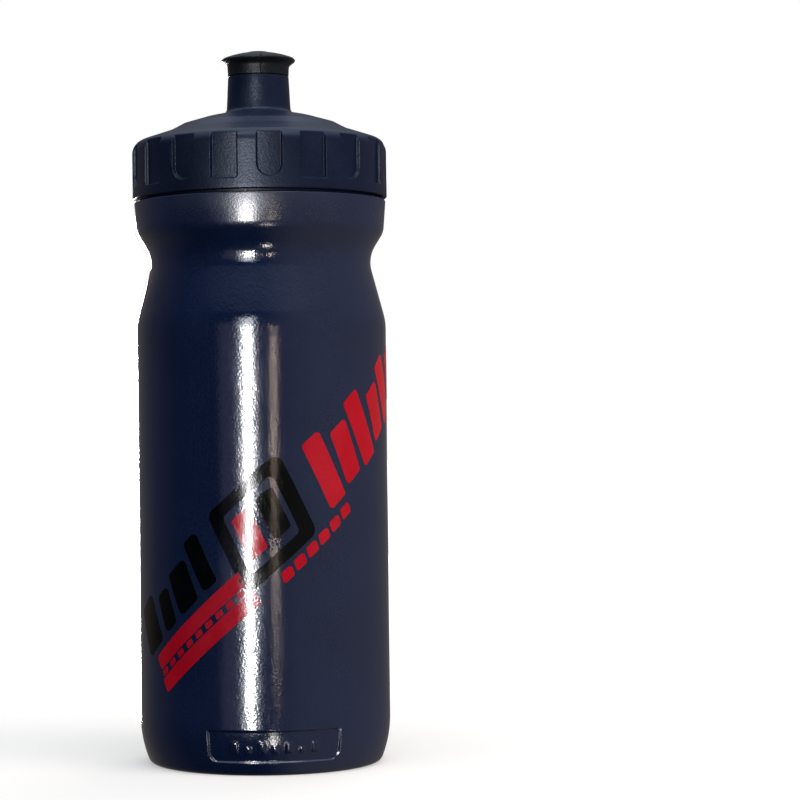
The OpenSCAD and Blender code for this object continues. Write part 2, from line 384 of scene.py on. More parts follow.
def step01(x):
    x = min(max(x, 0.0), 1.0)
    return x * x * (3 - 2 * x)


def shaderGroup(name, inputs, outputs):
    tree = bpy.data.node_groups.new(name, "ShaderNodeTree")
    for label, kind, value in inputs:
        tree.interface.new_socket(label, in_out="INPUT", socket_type=kind).default_value = value
    for label, kind in outputs:
        tree.interface.new_socket(label, in_out="OUTPUT", socket_type=kind)
    return tree, addNode(tree, "NodeGroupInput"), addNode(tree, "NodeGroupOutput")


def mouldGrainGroup():
    # fine texture that a moulded surface has: soft pits of one size, broken up by a second size
    tree, start, end = shaderGroup("mouldGrain", [
        ("Grain size", "NodeSocketFloat", 0.3 * mm),
        ("Second size", "NodeSocketFloat", 1.2 * mm),
        ("Second share", "NodeSocketFloat", 0.3)],
        [("Height", "NodeSocketFloat")])
    link = tree.links.new
    where = addNode(tree, "ShaderNodeTexCoord").outputs["Object"]
    heights = []
    for label in ("Grain size", "Second size"):
        scale = calc(tree, "DIVIDE", 1.0, start.outputs[label])
        grain = addNode(tree, "ShaderNodeTexNoise", noise_dimensions="3D")
        grain.inputs["Detail"].default_value = 1.5
        link(where, grain.inputs["Vector"])
        link(scale, grain.inputs["Scale"])
        heights.append(grain.outputs["Fac"])
    height = calc(tree, "MULTIPLY_ADD", heights[1], start.outputs["Second share"], heights[0])
    link(height, end.inputs["Height"])
    return tree


def handlingGroup():
    # uneven colour and shine from handling: cloudy patches and thin scuffs
    tree, start, end = shaderGroup("handlingMarks", [
        ("Colour", "NodeSocketColor", (0.5, 0.5, 0.5, 1)),
        ("Cloud colour", "NodeSocketColor", (0.5, 0.5, 0.5, 1)),
        ("Roughness", "NodeSocketFloat", 0.4),
        ("Cloud size", "NodeSocketFloat", 20 * mm),
        ("Scuffs", "NodeSocketFloat", 0.1)],
        [("Colour", "NodeSocketColor"), ("Roughness", "NodeSocketFloat")])
    link = tree.links.new
    where = addNode(tree, "ShaderNodeTexCoord").outputs["Object"]
    cloud = addNode(tree, "ShaderNodeTexNoise", noise_dimensions="3D")
    cloud.inputs["Detail"].default_value = 3.0
    link(where, cloud.inputs["Vector"])
    link(calc(tree, "DIVIDE", 1.0, start.outputs["Cloud size"]), cloud.inputs["Scale"])
    patch = calc(tree, "MULTIPLY", calc(tree, "SUBTRACT", cloud.outputs["Fac"], 0.35), 3.0, clamp=True)
    speck = addNode(tree, "ShaderNodeTexNoise", noise_dimensions="3D")
    speck.inputs["Scale"].default_value = 1 / (0.8 * mm)
    speck.inputs["Detail"].default_value = 1.0
    link(where, speck.inputs["Vector"])
    patch = calc(tree, "MULTIPLY_ADD", calc(tree, "SUBTRACT", speck.outputs["Fac"], 0.5), 1.6, patch)
    tint = addNode(tree, "ShaderNodeMix", data_type="RGBA")
    link(patch, tint.inputs["Factor"])
    link(start.outputs["Colour"], tint.inputs["A"])
    link(start.outputs["Cloud colour"], tint.inputs["B"])
    stretch = addNode(tree, "ShaderNodeMapping")
    stretch.inputs["Scale"].default_value = (1.0, 1.0, 0.12)
    stretch.inputs["Rotation"].default_value = (0.25, 0.1, 0.0)
    link(where, stretch.inputs["Vector"])
    scuff = addNode(tree, "ShaderNodeTexNoise", noise_dimensions="3D")
    scuff.inputs["Scale"].default_value = 1 / (0.9 * mm)
    scuff.inputs["Detail"].default_value = 2.0
    link(stretch.outputs[0], scuff.inputs["Vector"])
    thin = calc(tree, "MULTIPLY", calc(tree, "SUBTRACT", scuff.outputs["Fac"], 0.66), 9.0, clamp=True)
    thin = calc(tree, "MULTIPLY", thin, start.outputs["Scuffs"])
    rough = calc(tree, "MULTIPLY_ADD", patch, 0.05, start.outputs["Roughness"])
    rough = calc(tree, "ADD", rough, thin)
    link(tint.outputs["Result"], end.inputs["Colour"])
    link(rough, end.inputs["Roughness"])
    return tree


mouldGrain = mouldGrainGroup()
handlingMarks = handlingGroup()
glossRamp = 11 * mm  # height over which the wall turns from glossy to matte
lineDepth = 1.6  # depth of a parting line, in grain heights


def paint(name, look):
    # one moulded or printed finish
    material = bpy.data.materials.new(name)
    material.use_nodes = True
    tree = material.node_tree
    shader = tree.nodes["Principled BSDF"]
    link = tree.links.new
    marks = addNode(tree, "ShaderNodeGroup", node_tree=handlingMarks)
    marks.inputs["Colour"].default_value = (*look["colour"], 1)
    marks.inputs["Cloud colour"].default_value = (*look["cloud"], 1)
    marks.inputs["Roughness"].default_value = look["roughness"]
    marks.inputs["Cloud size"].default_value = look.get("cloudSize", 20) * mm
    marks.inputs["Scuffs"].default_value = look.get("scuffs", 0.08)
    grain = addNode(tree, "ShaderNodeGroup", node_tree=mouldGrain)
    grain.inputs["Grain size"].default_value = look["grain"] * mm
    grain.inputs["Second size"].default_value = look.get("secondGrain", 1.5) * mm
    grain.inputs["Second share"].default_value = look.get("secondShare", 0.3)
    bump = addNode(tree, "ShaderNodeBump")
    bump.inputs["Strength"].default_value = 1.0
    bump.inputs["Distance"].default_value = look["grainDepth"] * mm
    link(marks.outputs["Colour"], shader.inputs["Base Color"])
    rough = marks.outputs["Roughness"]
    if "matteFrom" in look:
        # the wall is less glossy from this height up
        where = addNode(tree, "ShaderNodeSeparateXYZ")
        link(addNode(tree, "ShaderNodeTexCoord").outputs["Object"], where.inputs[0])
        rise = calc(tree, "SUBTRACT", where.outputs["Z"], look["matteFrom"])
        share = calc(tree, "DIVIDE", rise, glossRamp, clamp=True)
        rough = calc(tree, "MULTIPLY_ADD", share, look["matte"], rough)
    link(rough, shader.inputs["Roughness"])
    height = grain.outputs["Height"]
    if "partingLine" in look:
        # a hairline groove along the front, where the two halves of the mould meet
        where = addNode(tree, "ShaderNodeSeparateXYZ")
        link(addNode(tree, "ShaderNodeTexCoord").outputs["Object"], where.inputs[0])
        off = calc(tree, "DIVIDE", calc(tree, "ABSOLUTE", where.outputs["X"]), look["partingLine"] * mm)
        groove = calc(tree, "SUBTRACT", 1.0, off, clamp=True)
        groove = calc(tree, "MULTIPLY", groove, calc(tree, "LESS_THAN", where.outputs["Y"], 0.0))
        height = calc(tree, "MULTIPLY_ADD", groove, -lineDepth, height)
    link(height, bump.inputs["Height"])
    link(bump.outputs["Normal"], shader.inputs["Normal"])
    shader.inputs["IOR"].default_value = look.get("ior", 1.5)
    shader.inputs["Specular IOR Level"].default_value = look.get("shine", 0.5)
    shader.inputs["Specular Tint"].default_value = (*look.get("tint", (1, 1, 1)), 1)
    return material


# colours are linear; sizes, grainDepth and partingLine are in mm; shine is the specular level
bottlePlastic = paint("bottlePlastic", {
    "colour": (0.0026, 0.0076, 0.0300), "cloud": (0.0044, 0.0102, 0.0375), "cloudSize": 26,
    "roughness": 0.10, "scuffs": 0.10, "grain": 0.55, "secondGrain": 1.9, "secondShare": 0.6,
    "grainDepth": 0.034, "ior": 1.5, "matteFrom": shoulderZ + 25 * mm, "matte": 0.19})
capPlastic = paint("capPlastic", {
    "colour": (0.0008, 0.0036, 0.0170), "cloud": (0.0020, 0.0052, 0.0215), "cloudSize": 12,
    "roughness": 0.36, "scuffs": 0.05, "grain": 0.55, "secondGrain": 1.5, "secondShare": 0.6,
    "grainDepth": 0.060, "ior": 1.5, "shine": 0.21, "tint": (0.82, 0.91, 1.0)})
tipRubber = paint("tipRubber", {
    "colour": (0.0036, 0.0052, 0.0064), "cloud": (0.0052, 0.0068, 0.0078), "cloudSize": 5,
    "roughness": 0.42, "scuffs": 0.04, "grain": 0.55, "secondGrain": 1.4, "secondShare": 0.6,
    "grainDepth": 0.10, "ior": 1.48, "shine": 0.17, "partingLine": 0.14})
pinPlastic = paint("pinPlastic", {
    "colour": (0.010, 0.015, 0.028), "cloud": (0.016, 0.022, 0.038), "cloudSize": 3,
    "roughness": 0.14, "scuffs": 0.12, "grain": 0.8, "grainDepth": 0.03, "ior": 1.5})
sleevePlastic = paint("sleevePlastic", {
    "colour": (0.012, 0.013, 0.016), "cloud": (0.015, 0.016, 0.019), "cloudSize": 6,
    "roughness": 0.30, "scuffs": 0.10, "grain": 0.5, "grainDepth": 0.01, "ior": 1.5})
gasketRubber = paint("gasketRubber", {
    "colour": (0.56, 0.54, 0.49), "cloud": (0.62, 0.60, 0.55), "cloudSize": 9,
    "roughness": 0.55, "scuffs": 0.05, "grain": 0.4, "grainDepth": 0.02, "ior": 1.45})
ringRubber = paint("ringRubber", {
    "colour": (0.010, 0.010, 0.010), "cloud": (0.014, 0.014, 0.014), "cloudSize": 3,
    "roughness": 0.35, "scuffs": 0.02, "grain": 0.2, "grainDepth": 0.006, "ior": 1.5})
redInk = paint("redInk", {
    "colour": (0.395, 0.0014, 0.0095), "cloud": (0.44, 0.0022, 0.0130), "cloudSize": 7,
    "roughness": 0.11, "scuffs": 0.10, "grain": 0.55, "secondGrain": 1.9, "secondShare": 0.6,
    "grainDepth": 0.034, "ior": 1.45, "shine": 0.22})
blackInk = paint("blackInk", {
    "colour": (0.0002, 0.0006, 0.0010), "cloud": (0.0005, 0.0009, 0.0014), "cloudSize": 7,
    "roughness": 0.11, "scuffs": 0.10, "grain": 0.55, "secondGrain": 1.9, "secondShare": 0.6,
    "grainDepth": 0.034, "ior": 1.45, "shine": 0.18})
print("materials made")


# azimuth and roll in degrees, distance, height and lens in mm, shifts in sensor widths
shot = {
    "azimuth": -4.4, "distance": 740, "height": 99.6, "roll": -0.65,
    "lens": 112.1, "shiftX": 0.1722, "shiftY": 0.031}


def around(azimuth, distance, height):
    # place at a compass angle from the front, in degrees, positive towards +X
    a = math.radians(azimuth)
    return Vector((math.sin(a) * distance, -math.cos(a) * distance, height))


def makeCamera():
    data = bpy.data.cameras.new("camera")
    data.lens = shot["lens"]
    data.sensor_width = 36
    data.shift_x, data.shift_y = shot["shiftX"], shot["shiftY"]
    data.clip_start, data.clip_end = 0.01, 50
    camera = bpy.data.objects.new("camera", data)
    bpy.context.scene.collection.objects.link(camera)
    place = around(shot["azimuth"], shot["distance"] * mm, shot["height"] * mm)
    look = Vector((-place.x, -place.y, 0)).to_track_quat("-Z", "Y").to_matrix().to_4x4()
    roll = Matrix.Rotation(math.radians(shot["roll"]), 4, "Z")
    camera.matrix_world = Matrix.Translation(place) @ look @ roll
    bpy.context.scene.camera = camera


# angle from the front, distance and middle height in mm, width and height in mm, watts, colour
lamps = {
    "tallWindow": (-16.4, 1000, 32, 66, 275, 10.5, (1.0, 0.98, 0.97)),
    "windowTop": (-16.4, 1000, 300, 120, 260, 0.8, (0.95, 0.97, 1.0)),
    "windowSide": (-28, 1050, 30, 560, 500, 0.40, (0.76, 0.70, 1.0)),
    "windowFrame": (-17.0, 1010, 150, 250, 600, 3.4, (0.86, 0.91, 1.0)),
    "thinLamp": (5.8, 1000, 50, 12, 170, 0.02, (1.0, 0.90, 0.82)),
    "tableGlow": (2.4, 420, -120, 24, 90, 0.24, (1.0, 0.96, 0.90)),
    "rightFill": (55, 1100, 250, 700, 700, 11.0, (1.0, 0.95, 0.92)),
    "leftFill": (-60, 1100, 250, 700, 700, 4.4, (0.82, 0.92, 1.0)),
    "overhead": (10, 500, 1300, 900, 900, 7.0, (0.92, 0.95, 1.0)),
    "topSheen": (-24, 620, 1150, 260, 260, 2.6, (1.0, 0.95, 0.88)),
    "backFill": (150, 1100, 300, 800, 700, 9.0, (1.0, 0.98, 0.96)),
    "windowBack": (187, 1000, 60, 80, 330, 9.0, (1.0, 0.98, 0.97))}
shortLamps = ((148, 16), (98, 22), (52, 14), (-4, 20))  # middle height and height, in mm
for number, (high, tall) in enumerate(shortLamps):
    lamps[f"thinLamp{number}"] = (5.8, 990, high, 12, tall, 0.0065 * tall, (1.0, 0.80, 0.60))
aims = {"tableGlow": 150 * mm, "overhead": 100 * mm, "topSheen": 190 * mm}
onlyMirrored = ("tall", "window", "thin", "table", "top")  # these lamps show only in the gloss
room = {
    "front": (0.024, 0.030, 0.044), "right": (0.40, 0.37, 0.34), "behind": (0.17, 0.15, 0.135),
    "above": (1.50, 1.75, 2.05)}


def makeLamp(name, angle, distance, height, width, tall, watts, colour):
    data = bpy.data.lights.new(name, "AREA")
    data.shape = "RECTANGLE"
    data.size, data.size_y = width * mm, tall * mm
    data.energy = watts
    data.color = colour
    lamp = bpy.data.objects.new(name, data)
    bpy.context.scene.collection.objects.link(lamp)
    place = around(angle, distance * mm, height * mm)
    target = Vector((0, 0, aims.get(name, height * mm)))
    turn = (target - place).to_track_quat("-Z", "Y").to_matrix().to_4x4()
    lamp.matrix_world = Matrix.Translation(place) @ turn
    lamp.visible_camera = False
    lamp.visible_glossy = not name.endswith("Fill")
    lamp.visible_diffuse = not name.startswith(onlyMirrored)


def makeWorld():
    # pale to the eye, dim where the gloss mirrors it: a grey room on the right, a warm one behind
    world = bpy.data.worlds.new("studio")
    bpy.context.scene.world = world
    world.use_nodes = True
    world.cycles.sampling_method = "NONE"
    tree = world.node_tree
    tree.nodes.clear()
    link = tree.links.new
    rays = addNode(tree, "ShaderNodeLightPath")
    seen, mirrored, soft = (addNode(tree, "ShaderNodeBackground") for _ in range(3))
    seen.inputs["Color"].default_value = (1.0, 1.0, 1.0, 1)
    soft.inputs["Color"].default_value = (0.42, 0.50, 0.62, 1)
    way = addNode(tree, "ShaderNodeSeparateXYZ")
    link(addNode(tree, "ShaderNodeTexCoord").outputs["Generated"], way.inputs[0])
    link(calc(tree, "MULTIPLY_ADD", way.outputs["Z"], 0.6, 0.4, clamp=True), soft.inputs["Strength"])
    right = calc(tree, "MULTIPLY_ADD", way.outputs["X"], 2.0, 0.12, clamp=True)
    behind = calc(tree, "MULTIPLY_ADD", way.outputs["Y"], 1.1, 0.1, clamp=True)
    above = calc(tree, "MULTIPLY_ADD", way.outputs["Z"], 2.2, -1.05, clamp=True)
    colour = None
    for share, key in ((right, "right"), (behind, "behind"), (above, "above")):
        mix = addNode(tree, "ShaderNodeMix", data_type="RGBA")
        mix.inputs["A"].default_value = (*room["front"], 1)
        mix.inputs["B"].default_value = (*room[key], 1)
        link(share, mix.inputs["Factor"])
        if colour:
            link(colour, mix.inputs["A"])
        colour = mix.outputs["Result"]
    link(colour, mirrored.inputs["Color"])
    first, second = addNode(tree, "ShaderNodeMixShader"), addNode(tree, "ShaderNodeMixShader")
    link(rays.outputs["Is Glossy Ray"], first.inputs[0])
    link(soft.outputs[0], first.inputs[1])
    link(mirrored.outputs[0], first.inputs[2])
    link(rays.outputs["Is Camera Ray"], second.inputs[0])
    link(first.outputs[0], second.inputs[1])
    link(seen.outputs[0], second.inputs[2])
    link(second.outputs[0], addNode(tree, "ShaderNodeOutputWorld").inputs[0])


def makeFloor():
    bpy.ops.mesh.primitive_circle_add(vertices=96, radius=6.0, fill_type="NGON")
    floor = bpy.context.object
    floor.name = "floor"
    material = bpy.data.materials.new("palePaper")
    material.use_nodes = True
    tree = material.node_tree
    shader = tree.nodes["Principled BSDF"]
    shader.inputs["Base Color"].default_value = (0.72, 0.66, 0.59, 1)
    shader.inputs["Roughness"].default_value = 0.9
    shader.inputs["Specular IOR Level"].default_value = 0.0
    far = addNode(tree, "ShaderNodeVectorMath", operation="LENGTH")
    tree.links.new(addNode(tree, "ShaderNodeTexCoord").outputs["Object"], far.inputs[0])
    fade = calc(tree, "MULTIPLY_ADD", far.outputs["Value"], 0.45, 0.34, clamp=True)
    shader.inputs["Emission Color"].default_value = (1, 1, 1, 1)
    tree.links.new(fade, shader.inputs["Emission Strength"])
    floor.data.materials.append(material)
    floor.visible_glossy = False
    floor.visible_diffuse = False
    floor.visible_shadow = False


makeCamera()
for lampName, values in lamps.items():
    makeLamp(lampName, *values)
makeWorld()
makeFloor()
bpy.context.scene.view_settings.view_transform = "Standard"
print("camera, lights and floor made")


bottle = {
    "wall": 1.1, "footArc": 33, "footCorner": 2.3, "footWall": 2, "floor": 1.7,
    "pushUpRadius": 26, "pushUp": 3, "shoulderArc": 18, "shoulderSlope": 15.2,
    "waistDepth": 4.36, "waistRise": 19.8, "waistArc": 9.5, "waistSlope": 32,
    "bulgeInset": 6.28, "bulgeRise": 30.78, "bulgeArc": 6, "bulgeSlope": 4.2, "bulgeOut": 0.3,
    "neckInset": 3.8, "neckWall": 1.6, "bandLow": 2.2, "bandHigh": 14.5}

panel = {
    "halfWidth": 20.4, "low": 3.7, "high": 13.3, "corner": 3.0, "depth": 0.60, "edge": 0.75,
    "markDepth": 0.35, "marks": (-12, -8, -4, 0, 4, 8, 12)}


def wallRadius(z):
    # outer radius of the bottle between the foot's corner and the shoulder
    if z >= footZ:
        return bodyR
    big = bottle["footArc"] * mm
    return bodyR - big + math.sqrt(big ** 2 - (footZ - z) ** 2)


def footOutline():
    # from the middle of the base to the start of the panel's band
    R, foot = bodyR / mm, footZ / mm
    big, small, ring = bottle["footArc"], bottle["footCorner"], bottle["pushUpRadius"]
    meet = math.degrees(math.asin((foot - small) / (big - small)))
    cx = R - big + (big - small) * math.cos(math.radians(meet))
    up = bottle["pushUp"]
    base = rounded([(0, up, 0), (ring - 9, up - 0.4, 30), (ring - 4, up - 1.3, 4),
                    (ring - 1.6, 0.7, 1.5), (ring + 0.3, 0, 1.2), (cx, 0, 0)], 6)
    corner = arc(cx, small, small, -90, -meet, 8)
    last = corner[-1]
    top = bottle["bandLow"]
    taper = [(wallRadius((last[1] + (top - last[1]) * k / 2) * mm) / mm,
              last[1] + (top - last[1]) * k / 2) for k in (1, 2)]
    return dense(inMm(base + corner[1:] + taper), 3 * mm)


def upperOutline():
    # from the top of the panel's band over the shoulder, neck and rim, and down inside
    R, top, b = bodyR / mm, shoulderZ / mm, bottle
    waistR, waistZ = R - b["waistDepth"], top + b["waistRise"]
    ledge, rim = ledgeZ / mm, rimZ / mm
    neck = R - b["neckInset"]
    bore = neck - b["neckWall"]

    def side(inset):
        return (arc(R - b["shoulderArc"], top, b["shoulderArc"] - inset, 0, b["shoulderSlope"], 8)
                + arc(waistR + b["waistArc"], waistZ, b["waistArc"] + inset,
                      180 + b["shoulderSlope"], 180 - b["waistSlope"], 18)
                + arc(R - b["bulgeInset"], top + b["bulgeRise"], b["bulgeArc"] - inset,
                      -b["waistSlope"], -b["bulgeSlope"], 10))

    out = R + b["bulgeOut"]
    outer = [(R, b["bandHigh"])] + side(0)
    outer += rounded([outer[-1] + (0,), (out, ledge, 0.5), (neck, ledge, 0.5),
                      (neck, rim, 0.35), (bore, rim, 0.35), (bore, ledge - 1.5, 0.6),
                      (out - b["wall"], ledge - 1.5, 0.8),
                      side(b["wall"])[-1] + (0,)], 6)[1:]
    inner = list(reversed(side(b["wall"])))[1:]
    foot, big, small = footZ / mm, b["footArc"] - b["footWall"], 3.0
    low = small + b["floor"]
    meet = math.degrees(math.asin((foot - low) / (big - small)))
    cx = R - b["footArc"] + (big - small) * math.cos(math.radians(meet))
    inner += [(R - b["wall"], foot + 7)] + arc(R - b["footArc"], foot, big, 0, -meet, 8)
    inner += arc(cx, low, small, -meet, -90, 8)[1:]
    ring, up = b["pushUpRadius"], b["pushUp"] + b["floor"]
    inner += [(ring + 1.2, b["floor"]), (ring - 3, up - 1.4), (ring - 9, up - 0.6), (0, up)]
    return dense(inMm(outer + inner), 4 * mm)


def panelBand():
    # the strip of wall that holds the recessed panel, with plain bars on its floor
    half, low, high = (panel[k] * mm for k in ("halfWidth", "low", "high"))
    corner, edge = panel["corner"] * mm, panel["edge"] * mm
    rows = [(bottle["bandLow"] + (bottle["bandHigh"] - bottle["bandLow"]) * k / 14) * mm
            for k in range(15)]
    bars = [(x * mm, (0.8 if i % 2 else 1.1) * mm, (8.6 if i % 2 else 9.9) * mm)
            for i, x in enumerate(panel["marks"])]

    def depth(u, v):
        return boxDepth(u, v, 0, low, half, corner, high)

    def mark(u, v):
        return max(boxDepth(u, v, x, low + 2.9 * mm, w, 0.4 * mm, top) for x, w, top in bars)

    def offset(u, v):
        sunk = panel["depth"] * step01(depth(u, v) / edge)
        raised = panel["markDepth"] * step01(mark(u, v) / (0.4 * mm))
        return wallRadius(v) - bodyR - (sunk - raised) * mm

    rings = [boxRing(0, low, half, corner, d * mm, rows, high)
             for d in (-0.12, 0, 0.12, 0.25, 0.37, 0.5, 0.62, 0.75, 0.9)]
    for x, w, top in bars:
        rings += [boxRing(x, low + 2.9 * mm, w, 0.4 * mm, d * mm, rows, top)
                  for d in (0, 0.13, 0.26, 0.4)]
    around = 2 * math.pi * bodyR
    flat = patternMesh("panelBand", -around / 2, around, segments, rows, rings,
                       [depth, lambda u, v: mark(u, v)], offset)
    return wrappedMesh("panelBand", flat, bottlePlastic, bodyR)


thread = {"turns": 1.5, "lead": 5, "runIn": 0.09, "start": 4.3}  # start is above the ledge, in mm


def neckThread():
    section = inMm([(-0.4, -1.4), (0, -1.2), (1.15, -0.62), (1.4, -0.4), (1.4, 0.4), (1.15, 0.62),
                    (0, 1.2), (-0.4, 1.4), (-0.4, -1.4)])
    neck = bodyR - bottle["neckInset"] * mm
    return turnedMesh("neckThread", section, bottlePlastic, Turns=thread["turns"],
                      Lead=thread["lead"] * mm, **{
                          "Run-in": thread["runIn"], "Centre radius": neck,
                          "Start height": ledgeZ + thread["start"] * mm})


def wallWave(point):
    # full over the outer wall, fading out at the foot, the ledge and inside
    r = math.hypot(point.x, point.y)
    inside = wallRadius(max(point.z, 2 * mm)) - 2 * mm if point.z < shoulderZ else bodyR - 6 * mm
    if r < inside:
        return 0.0
    fade = step01((point.z - 8 * mm) / (12 * mm)) * step01((ledgeZ - 2 * mm - point.z) / (6 * mm))
    return waviness(point, bodyR) * fade


bottleShell = joined("bottleShell", [
    turnedMesh("foot", footOutline(), bottlePlastic),
    panelBand(),
    turnedMesh("wall", upperOutline(), bottlePlastic),
    neckThread()], bottlePlastic, wallWave)
given(bottleShell, "bottle", "bottle_body")
print("bottle made")


cap = {
    "skirtInset": 2.5, "skirtHeight": 13.6, "crownArc": 4, "crownSlope": 18.9,
    "pairs": 9, "pocketDepth": 1.0, "pocketLow": 3.2, "edge": 0.46,
    "roundHalf": 3.85, "squareHalf": 4.1, "squareCorner": 0.9,
    "bandLow": 1.4, "bandHigh": 17.1, "chamberRadius": 7.7, "chamberLow": 16.7,
    "guideRadius": 7.0, "seat": 15.8}


def crownPoint(v):
    # the skirt's outer face and crown fillet by length along them: radius and height
    straight = cap["skirtHeight"] * mm
    r, cx = cap["crownArc"] * mm, capR - cap["crownArc"] * mm
    if v <= straight:
        return capR, capZ + v
    a = (v - straight) / r
    return cx + r * math.cos(a), capZ + straight + r * math.sin(a)


def pocketBand():
    pitch = math.pi * capR / cap["pairs"]
    low = cap["pocketLow"] * mm
    rows = [(cap["bandLow"] + (cap["skirtHeight"] - cap["bandLow"]) * k / 13) * mm for k in range(13)]
    rows += [(cap["skirtHeight"] + (cap["bandHigh"] - cap["skirtHeight"]) * k / 11) * mm
             for k in range(12)]
    floorR = capR - cap["pocketDepth"] * mm
    shapes = [(0, low, cap["roundHalf"] * mm, cap["roundHalf"] * mm),
              (pitch, low - 0.4 * mm, cap["squareHalf"] * mm, cap["squareCorner"] * mm)]

    def depth(u, v):
        return max(boxDepth(u, v, cx, at, half, corner) for cx, at, half, corner in shapes)

    rings = [boxRing(cx, at, half, corner, d * mm, rows[:-1])
             for cx, at, half, corner in shapes
             for d in (-0.1, -0.02, 0.05, 0.13, 0.21, 0.29, 0.37, 0.45, 0.56)]

    def place(u, v):
        r, z = crownPoint(v)
        sunk = step01(depth(u, v) / (cap["edge"] * mm)) * max(0.0, r - floorR)
        return r - capR - sunk, z

    flat = patternMesh("pocketBand", -pitch / 2, 2 * pitch, 2 * segments // (2 * cap["pairs"]), rows,
                       rings, [depth], lambda u, v: 0.0)
    for vertex in flat.vertices:
        out, z = place(vertex.co.x, vertex.co.z)
        vertex.co.y, vertex.co.z = out, z
    return wrappedMesh("pocketBand", flat, capPlastic, capR, cap["pairs"])


def capOutline():
    # from the crown fillet over the dome and the tube, down inside and back to the skirt
    R, z0, top = capR / mm, capZ / mm, tubeZ / mm
    c = cap
    start = crownPoint(c["bandHigh"] * mm)
    straight = c["skirtHeight"]
    crown = arc(R - c["crownArc"], z0 + straight, c["crownArc"],
                math.degrees((c["bandHigh"] - straight) / c["crownArc"]), 90 - c["crownSlope"], 5)
    step = z0 + 22
    dome = rounded([
        crown[-1] + (0,), (27.0, step - 1.95, 6), (25.3, step - 1.1, 3), (23.0, step + 0.15, 0.25),
        (16, step + 2.25, 30), (9.55, step + 3.6, 1.7),
        (9.35, step + 7.0, 20), (9.0, top, 0.25), (c["guideRadius"], top, 0.3),
        (c["guideRadius"], top - 4.1, 0.1), (c["chamberRadius"], top - 4.1, 0.1),
        (c["chamberRadius"], z0 + c["chamberLow"], 0.2), (9.6, z0 + c["chamberLow"], 0.2),
        (9.6, step + 1.5, 1.0), (16, step + 0.4, 10), (20, step - 0.6, 3), (21.6, step - 1.3, 3),
        (25, step - 3.1, 3), (29.8, step - 4.6, 0.6), (29.8, step - 11.7, 0.4),
        (31.2, step - 11.7, 0.6), (31.2, z0 + c["seat"], 0.2),
        (R - c["skirtInset"], z0 + c["seat"], 0.3), (R - c["skirtInset"], z0, 0.25),
        (R, z0, 0.35), (R, z0 + c["bandLow"], 0)], 6)
    return dense(inMm(crown[:-1] + dome), 2.2 * mm)


def capThread():
    section = inMm([(0.4, 1.4), (0, 1.2), (-1.15, 0.62), (-1.4, 0.4), (-1.4, -0.4), (-1.15, -0.62),
                    (0, -1.2), (0.4, -1.4), (0.4, 1.4)])
    start = thread["start"] - thread["lead"] / 3  # a third of a turn under the neck's ridge
    return turnedMesh("capThread", section, capPlastic, Turns=thread["turns"],
                      Lead=thread["lead"] * mm, **{
                          "Run-in": thread["runIn"], "Centre radius": capR - cap["skirtInset"] * mm,
                          "Start height": ledgeZ + start * mm})


capShell = joined("capShell", [
    pocketBand(), turnedMesh("dome", capOutline(), capPlastic), capThread()], capPlastic)
given(capShell, "cap", "screw_cap")
print("cap made")


# radii and heights in mm, measured from the piece's own low end unless said otherwise
mouth = {
    "sleeve": 6.95, "bore": 5.6, "flange": 7.9, "flangeLow": 1.7, "flangeHigh": 2.9,
    "ringSeat": 6.5, "ringLow": 1.4, "ringHigh": 2.7, "stop": 7.5, "headArc": 29, "hole": 3.3,
    "roof": 4.6, "collar": 9.0}
pin = {
    "stem": 2.6, "tip": 3.2, "ringIn": 6.3, "ringOut": 7.7, "ringTall": 3, "legMiddle": 4.45,
    "legSize": (4.3, 1.8, 2.96), "legTurns": (90, 210, 330), "legEdge": 0.25}
gasketInner = 31.4


def closedRing(corners, steps=5):
    # a closed cross-section with rounded corners: the first corner is repeated at the end
    first = [(a + b) / 2 for a, b in zip(corners[0], corners[-1])][:2] + [0]
    return rounded([tuple(first)] + corners + [tuple(first)], steps)


def turnedPiece(name, outline, material, body, node, step=1.5, wavy=None):
    piece = joined(name, [turnedMesh(name, dense(inMm(outline), step * mm), material,
                                     Segments=192)], material, wavy)
    given(piece, body, node)
    return piece


def tipOutline():
    rim, top, tube = tipHigh.x / mm, tipHigh.z / mm, tubeZ / mm
    low, roof, m = tipLow.z / mm, tube + mouth["roof"], mouth
    big, hole, r = m["headArc"], m["hole"], m["sleeve"]
    dome = arc(0, top - big, big, math.degrees(math.acos((rim - 0.6) / big)),
               math.degrees(math.acos((hole + 0.25) / big)), 10)
    outer = [(r, low, 0.05), (m["collar"], low, 0.2), (9.08, low + 2.0, 3), (9.2, low + 3.1, 1.4),
             (rim - 0.25, low + 4.35, 0.3), (rim, low + 4.75, 0.25)]
    outer += [p + (0.3 if i == 0 else 0,) for i, p in enumerate(dome)]
    inner = [(hole, top - 0.3, 0.22), (hole, roof, 0.1), (r, roof, 0.05),
             (r, low + m["flangeHigh"], 0.05), (m["flange"], low + m["flangeHigh"], 0.1),
             (m["flange"], low + m["flangeLow"], 0.1), (r, low + m["flangeLow"], 0.05)]
    return closedRing(outer + inner)


